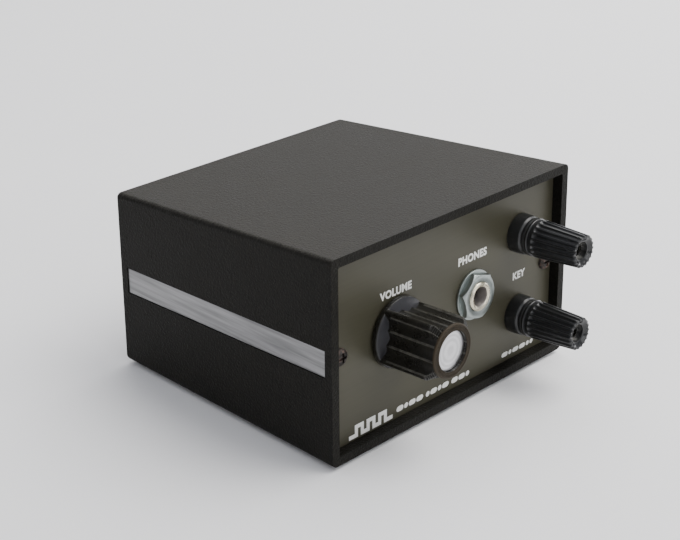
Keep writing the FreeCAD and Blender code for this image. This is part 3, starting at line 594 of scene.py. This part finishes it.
def ridge_near(angle):
    """True close to the crest between two flutes."""
    t = grip_radius(angle) * math.sin(side_angle(angle))
    if abs(t) > GRIP_REACH + 0.25:
        return False
    phase = flute_phase(t) % 1.0
    return min(phase, 1.0 - phase) < RIDGE_WIDTH


def skirt_radius(out):
    """Flange, then the slope that rises to the grip."""
    foot_out, foot_r = SLOPE_FOOT
    if out <= SKIRT_HIGH:
        return SKIRT_R
    if out <= foot_out:
        return SKIRT_R - (out - SKIRT_HIGH)
    return foot_r - (out - foot_out) * SLOPE_FALL


def knob_radius(out, limit=GRIP_ROOT_R):
    """Radius at one distance out, as a function of the angle: the larger of skirt and grip."""
    widest = min(limit, GRIP_ROOT_R - out * GRIP_DRAFT)

    def at(angle):
        return max(min(grip_radius(angle), widest), skirt_radius(out))
    return at


def nose_rings():
    """Fine turned steps that take the grip's corners down to the front ring."""
    rings = []
    rise = (GRIP_END - NOSE_START) / NOSE_STEPS
    drop = (NOSE_R - RING_R - 0.2) / NOSE_STEPS
    for i in range(NOSE_STEPS):
        out, limit = NOSE_START + i * rise, NOSE_R - i * drop
        rings.append((out, knob_radius(out, limit)))
        for along, cut in ((0.5, 0.05), (0.6, 0.15), (0.65, 1.15), (0.9, 1.2)):
            rings.append((out + along * rise, knob_radius(out, limit - cut * drop)))
    return rings


def face_rings():
    """Fine concentric grooves on the flat ring round the disc."""
    rings = []
    first = RING_R - 0.45
    width = (first - DISC_SEAT_R - 0.1) / RING_GROOVES
    low = KNOB_LEN - GROOVE_DEPTH
    for i in range(RING_GROOVES):
        r = first - i * width
        rings += [(KNOB_LEN, r), (KNOB_LEN, r - width * 0.5),
                  (low, r - width * 0.65), (low, r - width * 0.88)]
    return rings


def knob_parts(knob):
    """Second finishes for the turned front, a pale painted highlight along the grip's ridges, and a bluish painted
    reflection on the skirt.
    """
    for extra in (knob_face_ring, knob_ridge_highlight, knob_skirt_reflection):
        knob.data.materials.append(extra)
    for face in knob.data.polygons:
        out, radius, angle = polar(face, KNOB_AT)
        if out > GRIP_END + 0.1:
            face.material_index = 1
        # Faces of the skirt and its slope get a bluish painted reflection.
        elif out < SLOPE_TOP and face.normal.dot(OUT) > 0.8 and radius < SKIRT_R - 0.2:
            face.material_index = 3
        # Crests of the flutes get a pale painted highlight.
        elif out > SLOPE_TOP and radius > 6.0 and ridge_near(angle):
            face.material_index = 2


def make_knob():
    seat = KNOB_LEN - DISC_SINK - 0.4
    rings = KNOB_UNDERSIDE + [(out, knob_radius(out)) for out in SLOPE_STATIONS + GRIP_STATIONS]
    rings += nose_rings()
    rings += [(GRIP_END, knob_radius(GRIP_END, RING_R + 0.15)), (GRIP_END + 0.03, RING_R - 0.02),
              (GRIP_END + 0.35, RING_R), (KNOB_LEN - 0.25, RING_R - 0.04),
              (KNOB_LEN - 0.08, RING_R - 0.2)]
    rings += face_rings()
    rings += [(KNOB_LEN, DISC_SEAT_R + 0.05), (KNOB_LEN - 0.05, DISC_SEAT_R),
              (seat, DISC_SEAT_R), (seat, 0)]
    knob = finish_mesh("knob_body", weld(turned(rings, 480)), KNOB_AT, "volume_control",
                       "knob_plastic", ["volume_knob"])
    knob_parts(knob)


def make_disc():
    """Spun cap in the knob's face, with a low crown and a rolled edge."""
    high = KNOB_LEN - DISC_SINK
    low = high - DISC_T
    rings = [(low, 0), (low, DISC_R), (high - 0.22, DISC_R), (high - 0.1, 6.35),
             (high - 0.03, 6.2), (high - 0.06, 5.9)]
    rings += [(high - DISC_CROWN + DISC_CROWN * (1 - (r / 5.8) ** 2), r)
              for r in (5.6, 4.5, 3.5, 2.4, 1.2)]
    rings.append((high, 0))
    finish_mesh("knob_cap", turned(rings, 128), KNOB_AT, "volume_control", "knob_disc_metal",
                ["knob_disc"])


# ---- binding posts ------------------------------------------------------------------------
CAP_LEN = 25.7
CAP_ROOT = 6.35
CAP_TIP = CAP_LEN - 0.6
CAP_TAPER_START = CAP_ROOT + 2.8
CAP_ROOT_R = 6.3
CAP_TIP_R = 5.5
CAP_BORE = 3.06
CAP_FLUTES = 20
CAP_FLUTE_DEPTH = 0.62
CAP_FLUTE_WIDTH = 0.66          # part of each flute's pitch that is cut away
MOUTH_R = 4.6
MOUTH_DEPTH = 1.2

CAP_FOOT = [(CAP_ROOT, CAP_BORE), (CAP_ROOT, 5.9), (CAP_ROOT + 0.1, 6.15),
            (CAP_ROOT + 0.35, CAP_ROOT_R), (CAP_ROOT + 0.9, CAP_ROOT_R), (CAP_ROOT + 1.15, 6.1),
            (CAP_ROOT + 1.25, 5.75), (CAP_ROOT + 2.15, 5.75), (CAP_ROOT + 2.3, 6.1),
            (CAP_ROOT + 2.6, 6.28)]
CAP_STATIONS = (0.0, 0.15, 0.3, 0.5, 0.8, 1.2, 2.0, 4.0, 7.0, 10.0, 13.0, 15.2)
CAP_TIP_ROUNDING = ((CAP_TIP, 0.0), (CAP_TIP + 0.25, 0.08), (CAP_TIP + 0.45, 0.28), (CAP_LEN, 0.6))
CAP_MOUTH = [(CAP_LEN, MOUTH_R), (CAP_LEN - 0.04, 4.52), (CAP_LEN - 0.45, 4.1),
             (CAP_LEN - 0.9, 3.55), (CAP_LEN - 1.05, 3.3), (CAP_LEN - 1.1, CAP_BORE)]


def cap_body_radius(out):
    t = (out - CAP_TAPER_START) / (CAP_TIP - CAP_TAPER_START)
    return CAP_ROOT_R + (CAP_TIP_R - CAP_ROOT_R) * t


def fluted(out, base):
    """Radius with the cap's grooves cut in, which run out near the root."""
    ease = max(0.0, min(1.0, (out - (CAP_ROOT + 2.9)) / 0.9))
    depth = CAP_FLUTE_DEPTH * math.sqrt(ease)
    half = math.pi / CAP_FLUTES

    def at(angle):
        near = abs((angle % (2 * half)) - half) / half
        groove = math.sqrt(max(0.0, 1 - (near / CAP_FLUTE_WIDTH) ** 2))
        return base - depth * groove
    return at


def make_cap(name):
    rings = list(CAP_FOOT)
    for step in CAP_STATIONS:
        out = CAP_TAPER_START + step
        rings.append((out, fluted(out, cap_body_radius(out))))
    for out, cut in CAP_TIP_ROUNDING:
        rings.append((out, fluted(CAP_TIP, CAP_TIP_R - cut)))
    rings += CAP_MOUTH
    cap = finish_mesh(name + "_cap_body", turned_ring(rings, 320), POST_AT[name], name + "_cap",
                      "post_plastic", [name + "_post_cap"])
    cap.data.materials.append(polished)
    for face in cap.data.polygons:
        out, radius, _ = polar(face, POST_AT[name])
        if out > CAP_LEN - MOUTH_DEPTH and radius < MOUTH_R:
            face.material_index = 1


def make_collar(name):
    corners = [(0.02, 3.03), (0.02, 6.6), (4.4, 6.48), (5.2, 5.75), (5.2, 3.03)]
    finish_mesh(name + "_collar", turned_ring(rounded(corners, 0.3)), POST_AT[name], "case",
                "post_plastic", [name + "_post_base"])


def make_clamp(name):
    corners = [(5.3, 3.08), (5.3, 6.2), (6.3, 6.2), (6.3, 3.08)]
    finish_mesh(name + "_clamp_washer", turned_ring(rounded(corners, 0.16, 3)), POST_AT[name],
                name + "_clamp", "post_plastic", [name + "_post_clamp_ring"])


# ---- phones jack --------------------------------------------------------------------------
NUT_FLATS = 14.3
NUT_TURN = math.radians(45.0)
NUT_LOW, NUT_HIGH = 0.8, 3.1
NUT_HOLE_R = 4.78
NUT_CORNER_R = 8.25
NUT_CHAMFER_START = 2.3
NUT_CHAMFER_FALL = 1.35
BUSHING_FRONT = 3.6
BUSHING_BORE_R = 3.25
THREAD_PITCH = 0.4

# The sleeve behind the panel, and its turned-in lip in front
BUSHING_REAR = [(-3.1, BUSHING_BORE_R), (-3.1, 4.02), (-1.5, 4.02), (-1.5, 4.72)]
BUSHING_LIP = [(BUSHING_FRONT - 0.2, 4.6), (BUSHING_FRONT - 0.05, 4.45), (BUSHING_FRONT, 4.3),
               (BUSHING_FRONT, 4.1), (BUSHING_FRONT - 0.15, 3.75), (BUSHING_FRONT - 0.4, 3.4),
               (BUSHING_FRONT - 0.8, BUSHING_BORE_R)]


def hex_radius(trim):
    """The nut's hexagon, with its corners turned off at a radius."""
    def at(angle):
        a = (angle - NUT_TURN) % (math.pi / 3) - math.pi / 6
        return min(NUT_FLATS / 2 / math.cos(a), trim)
    return at


def make_jack_nut():
    """Hexagon whose corners are turned off on the front side."""
    rings = [(NUT_LOW, NUT_HOLE_R), (NUT_LOW, hex_radius(8.1)),
             (NUT_LOW + 0.2, hex_radius(NUT_CORNER_R))]
    for out in (1.6, 2.3, 2.5, 2.7, 2.85, 2.98, 3.06):
        cut = max(0.0, out - NUT_CHAMFER_START) * NUT_CHAMFER_FALL
        rings.append((out, hex_radius(NUT_CORNER_R - cut)))
    rings += [(NUT_HIGH, 7.0), (NUT_HIGH, 5.3), (NUT_HIGH - 0.3, NUT_HOLE_R)]
    finish_mesh("jack_hex_nut", turned_ring(rings, 192), JACK_AT, "case", "zinc_hardware",
                ["jack_nut"])


def make_jack_washer():
    corners = [(0.02, 4.82), (0.02, 8.4), (0.8, 8.4), (0.8, 4.82)]
    finish_mesh("jack_flat_washer", turned_ring(rounded(corners, 0.2, 3)), JACK_AT, "case",
                "zinc_hardware", ["jack_washer"])


def make_jack_bushing():
    """Threaded sleeve with a turned-in lip round the plug's hole."""
    rings = list(BUSHING_REAR)
    out = -1.3
    while out < BUSHING_FRONT - 0.35:
        rings += [(out, 4.55), (out + THREAD_PITCH / 2, 4.75)]
        out += THREAD_PITCH
    rings += BUSHING_LIP
    sleeve = finish_mesh("jack_sleeve", turned_ring(rings), JACK_AT, "case", "brass",
                         ["jack_bushing"])
    sleeve.data.materials.append(jack_bore)
    for face in sleeve.data.polygons:
        if polar(face, JACK_AT)[1] < BUSHING_BORE_R + 0.1:
            face.material_index = 1


# ---- panel markings -----------------------------------------------------------------------
INK_LIFT = 0.02                 # the ink stands this far out of the panel's face
MARK_DEPTH = 0.03
MARK_SLANT = 0.18
WAVE_STROKE = 1.35
WAVE_PULSES = 3
LABEL_WEIGHT = 0.042            # how far the letters are thickened, in parts of their size
LABEL_SPACING = 1.07

# (piece, words, x, y, size) in panel millimetres
LABELS = (
    ("label_volume", "VOLUME", -24.9, 12.9, 3.5),
    ("label_phones", "PHONES", 11.9, 12.9, 3.6),
    ("label_key", "KEY", 36.5, -0.8, 3.45),
)
# (piece, pattern without a meaning, x, y, height, unit), in place of printed words
MORSE_ROWS = (
    ("mark_row_small", "-.-- .-.- --.", -24.4, -27.3, 1.8, 1.08),
    ("mark_row_right", "-.--..", 28.7, -27.6, 1.6, 1.25),
)


def print_on_panel(name, bm):
    finish_mesh(name, bm, PANEL_MIDDLE, "case", "panel_metal", material=ink)


def slab(bm, outline):
    """Thin closed plate with a given outline in panel millimetres."""
    low = [bm.verts.new((x, y, INK_LIFT - MARK_DEPTH)) for x, y in outline]
    high = [bm.verts.new((x, y, INK_LIFT)) for x, y in outline]
    bm.faces.new(high)
    bm.faces.new(low[::-1])
    for i in range(len(outline)):
        j = (i + 1) % len(outline)
        bm.faces.new((low[i], low[j], high[j], high[i]))


def block(bm, x0, y0, x1, y1):
    slab(bm, [(x0, y0), (x1, y0), (x1, y1), (x0, y1)])


def bar(bm, x0, x1, y, height):
    """Slanted bar with round ends, as printed."""
    half = height / 2
    steps = 6
    outline = []
    for end, sign in ((x1, 1), (x0, -1)):
        for i in range(steps + 1):
            a = -math.pi / 2 + math.pi * i / steps
            px = end + sign * half * (math.cos(a) - 1)
            py = sign * half * math.sin(a)
            outline.append((px + MARK_SLANT * py, y + py))
    slab(bm, outline)


def morse_row(name, pattern, x, y, height, unit):
    """Row of dots and dashes, where a space is a gap between groups."""
    bm = bmesh.new()
    for mark in pattern:
        length = {".": height, "-": height + 1.3 * unit, " ": 0.5 * unit}[mark]
        if mark != " ":
            bar(bm, x, x + length, y, height)
        x += length + 0.4 * unit
    print_on_panel(name, bm)


def bold_wave(name, x, y, length, height):
    """Bold line of a keyed tone: flat, a few square pulses, flat. It stands for no mark."""
    half = WAVE_STROKE / 2
    step = length / (2 * WAVE_PULSES + 1)
    low, high = y - height / 2, y + height / 2
    bm = bmesh.new()
    for i in range(2 * WAVE_PULSES + 1):
        level = high if i % 2 else low
        x0 = x + i * step
        block(bm, x0 - half, level - half, x0 + step + half, level + half)
        if i:
            block(bm, x0 - half, low + half, x0 + half, high - half)
    print_on_panel(name, bm)


def lettering(name, words, x, y, size):
    """Plain function label in the built-in typeface, centred on (x, y)."""
    curve = bpy.data.curves.new(name, "FONT")
    curve.body = words
    curve.size = size
    curve.align_x = "CENTER"
    curve.align_y = "CENTER"
    curve.offset = LABEL_WEIGHT * size
    curve.extrude = MARK_DEPTH / 2
    curve.space_character = LABEL_SPACING
    curve.resolution_u = 3
    source = bpy.data.objects.new(name + "_source", curve)
    bpy.context.scene.collection.objects.link(source)
    bpy.context.view_layer.update()
    mesh = bpy.data.meshes.new_from_object(source)
    bpy.data.objects.remove(source)
    bm = bmesh.new()
    bm.from_mesh(mesh)
    bm.transform(Matrix.Translation((x, y, INK_LIFT - MARK_DEPTH / 2)))
    print_on_panel(name, weld(bm))


make_knob()
make_disc()
for post in POSTS:
    make_cap(post)
    make_collar(post)
    make_clamp(post)
make_jack_nut()
make_jack_washer()
make_jack_bushing()
for label in LABELS:
    lettering(*label)
bold_wave("mark_tone", -45.6, -27.3, 18.6, 2.9)
for row in MORSE_ROWS:
    morse_row(*row)


# ---- studio, in metres and degrees --------------------------------------------------------
FLOOR_FLAT_R = 2.2
FLOOR_CURVE_R = 0.9
FLOOR_WALL = 2.2
FLOOR_STEPS = 16
PAPER_GREY = (0.8, 0.795, 0.8)
PAPER_FIBRES = ((0.84, 0.835, 0.842), (0.86, 0.855, 0.86))

# (lamp, azimuth, elevation, distance, size, watts, colour), azimuth as for the camera
LAMPS = (
    ("lamp_key", 52, 58, 1.3, 1.1, 19, (1.0, 0.99, 0.965)),
    ("lamp_back", 132, 46, 1.9, 1.9, 19, (1.0, 0.99, 0.975)),
    ("lamp_right", 96, 10, 1.2, 0.8, 8, (1.0, 1.0, 1.0)),
    ("lamp_front", -5, 28, 1.7, 1.2, 6.5, (1.0, 1.0, 1.0)),
)
LAMP_AIM = Vector((0, 0, 0.03))
SKY_BLUE = (0.9, 0.93, 1.0, 1)
SKY_STRENGTH = 0.72

CAMERA_AZIMUTH, CAMERA_ELEVATION, CAMERA_ROLL = -47.77, 24.01, 1.29
CAMERA_DISTANCE = 0.5600
CAMERA_TARGET = Vector((0.0010, 0.0123, 0.0317))
CAMERA_LENS, CAMERA_SENSOR = 89.26, 36.0


def direction(azimuth, elevation):
    """Unit vector from the object towards a lamp or a camera."""
    a, e = math.radians(azimuth), math.radians(elevation)
    return Vector((math.sin(a) * math.cos(e), -math.cos(a) * math.cos(e), math.sin(e)))


def make_floor():
    """Pale sweep all round: a flat disc whose edge curves up into a wall."""
    profile = [(0.0, 0.0), (0.4, 0.0), (1.0, 0.0), (FLOOR_FLAT_R, 0.0)]
    for i in range(1, FLOOR_STEPS + 1):
        a = math.pi / 2 * i / FLOOR_STEPS
        profile.append((FLOOR_FLAT_R + FLOOR_CURVE_R * math.sin(a),
                        FLOOR_CURVE_R * (1 - math.cos(a))))
    profile.append((FLOOR_FLAT_R + FLOOR_CURVE_R, FLOOR_WALL))
    bm = turned([(z, r) for r, z in profile], 96)
    mesh = bpy.data.meshes.new("studio_floor")
    bm.to_mesh(mesh)
    bm.free()
    shade_smooth(mesh)
    paper = Finish("studio_paper", PAPER_GREY, 0.85)
    paper.color(paper.fade(paper.noise(6, 3), 0.3, 0.7, PAPER_FIBRES))
    mesh.materials.append(paper.mat)
    floor = bpy.data.objects.new("studio_floor", mesh)
    bpy.context.scene.collection.objects.link(floor)


def area_light(name, azimuth, elevation, distance, size, power, color):
    """Round lamp that faces the object from a direction."""
    back = direction(azimuth, elevation)
    lamp = bpy.data.lights.new(name, "AREA")
    lamp.shape = "DISK"
    lamp.size = size
    lamp.energy = power
    lamp.color = color
    thing = bpy.data.objects.new(name, lamp)
    thing.location = back * distance + LAMP_AIM
    thing.rotation_euler = back.to_track_quat("Z", "Y").to_euler()
    bpy.context.scene.collection.objects.link(thing)


def make_sky():
    world = bpy.data.worlds.new("studio_world")
    world.use_nodes = True
    sky = world.node_tree.nodes["Background"]
    sky.inputs["Color"].default_value = SKY_BLUE
    sky.inputs["Strength"].default_value = SKY_STRENGTH
    bpy.context.scene.world = world


def make_camera():
    back = direction(CAMERA_AZIMUTH, CAMERA_ELEVATION)
    roll = math.radians(CAMERA_ROLL)
    right = (-back).cross(Vector((0, 0, 1))).normalized()
    up = right.cross(-back)
    side = math.cos(roll) * right + math.sin(roll) * up
    top = -math.sin(roll) * right + math.cos(roll) * up
    data = bpy.data.cameras.new("camera")
    data.sensor_width = CAMERA_SENSOR
    data.lens = CAMERA_LENS
    data.clip_start, data.clip_end = 0.01, 20
    data.dof.use_dof = False
    camera = bpy.data.objects.new("camera", data)
    turn = Matrix((side, top, back)).transposed().to_4x4()
    camera.matrix_world = Matrix.Translation(CAMERA_TARGET + back * CAMERA_DISTANCE) @ turn
    bpy.context.scene.collection.objects.link(camera)
    bpy.context.scene.camera = camera


make_floor()
for lamp_row in LAMPS:
    area_light(*lamp_row)
make_sky()
make_camera()
